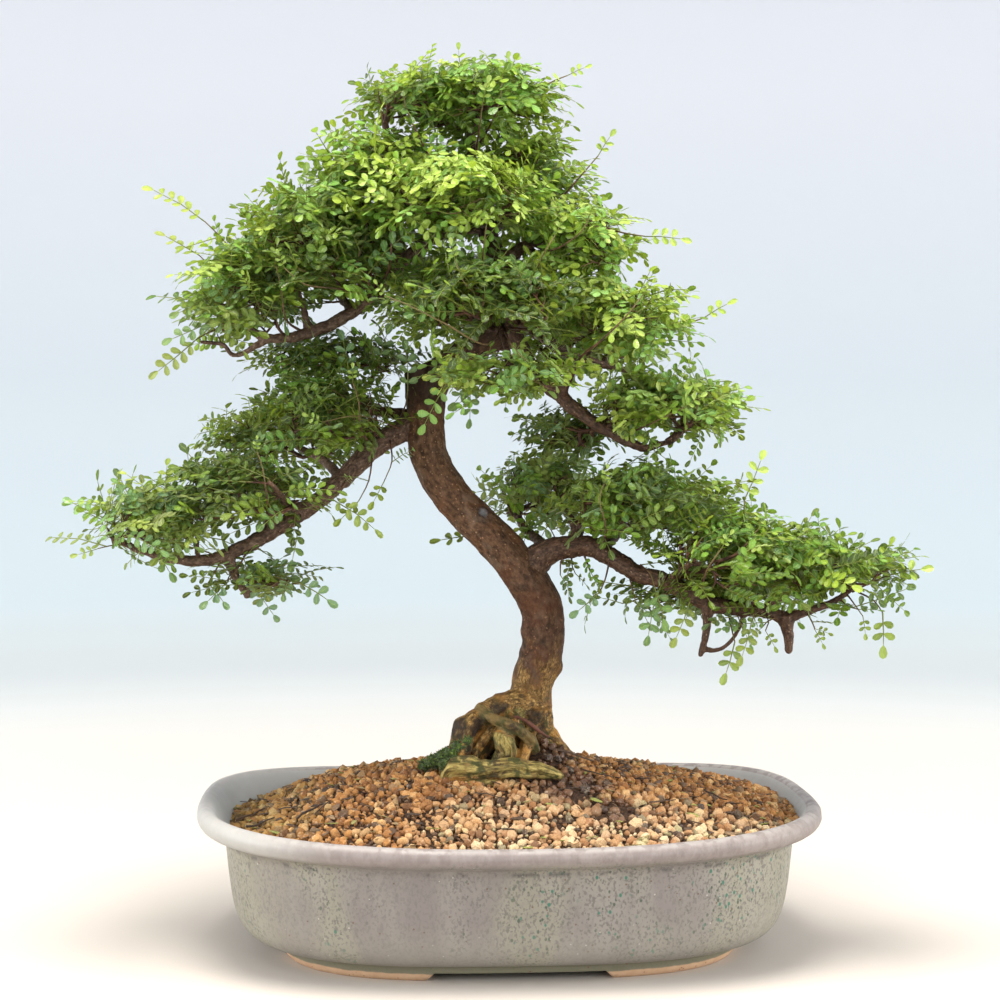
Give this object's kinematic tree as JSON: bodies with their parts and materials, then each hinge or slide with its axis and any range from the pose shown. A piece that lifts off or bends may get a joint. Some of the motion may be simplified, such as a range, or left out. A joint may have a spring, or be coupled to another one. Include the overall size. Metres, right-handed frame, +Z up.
{
  "type": "japanese pepper bonsai",
  "caption": "Small tree with a curved trunk, gnarled surface roots and layered pads of pinnate leaves, planted in granular soil in a glazed oval pot on low feet.",
  "frame": {"origin": "middle of the whole object's box in X and Y, at the level the pot's feet stand on", "axes": "+Z up along the tree; +X along the pot's long side, towards the long low branch; +Y to the back, away from the side shown in the picture"},
  "size_m": [0.4318, 0.2598, 0.4628],
  "materials": {
    "glaze": "satin",
    "soil_granules": "matte",
    "moss": "matte",
    "bark": "matte",
    "twig_bark": "matte",
    "leaf": "satin",
    "young_leaf": "satin",
    "shaded_leaf": "satin",
    "netting": "matte",
    "wire": "satin"
  },
  "bodies": {
    "root": {"pot": "glaze", "drain_mesh_left": "netting", "mesh_wire_left": "wire", "drain_mesh_right": "netting", "mesh_wire_right": "wire", "trunk_with_roots": "bark", "soil": "soil_granules", "moss_patch": "moss", "lower_right_branch": "twig_bark", "lower_left_branch": "twig_bark", "inner_left_branch": "twig_bark", "upper_left_branch": "twig_bark", "upper_right_branch": "twig_bark", "middle_right_branch": "twig_bark", "back_branch": "twig_bark", "front_branch": "twig_bark", "high_right_branch": "twig_bark", "high_back_branch": "twig_bark", "apex_left_branch": "twig_bark", "left_tip_leaves": "young_leaf", "left_middle_leaves": "leaf", "left_inner_leaves": "shaded_leaf", "left_top_leaves": "shaded_leaf", "left_under_leaves": "shaded_leaf", "left_back_leaves": "leaf", "upper_left_tip_leaves": "young_leaf", "upper_left_middle_leaves": "leaf", "upper_left_back_leaves": "leaf", "shoulder_leaves": "young_leaf", "apex_leaves": "young_leaf", "apex_left_leaves": "young_leaf", "apex_right_leaves": "leaf", "crown_front_leaves": "leaf", "crown_back_leaves": "leaf", "high_right_leaves": "young_leaf", "centre_front_leaves": "leaf", "front_spray_leaves": "leaf", "right_upper_leaves": "leaf", "right_back_leaves": "leaf", "right_lower_leaves": "leaf", "right_hanging_leaves": "shaded_leaf", "centre_back_leaves": "leaf", "behind_trunk_leaves": "shaded_leaf", "low_right_inner_leaves": "shaded_leaf", "low_right_back_leaves": "leaf", "low_right_middle_leaves": "leaf", "low_right_outer_leaves": "young_leaf", "low_right_tip_leaves": "young_leaf", "low_right_under_leaves": "shaded_leaf"}
  },
  "joints": []
}
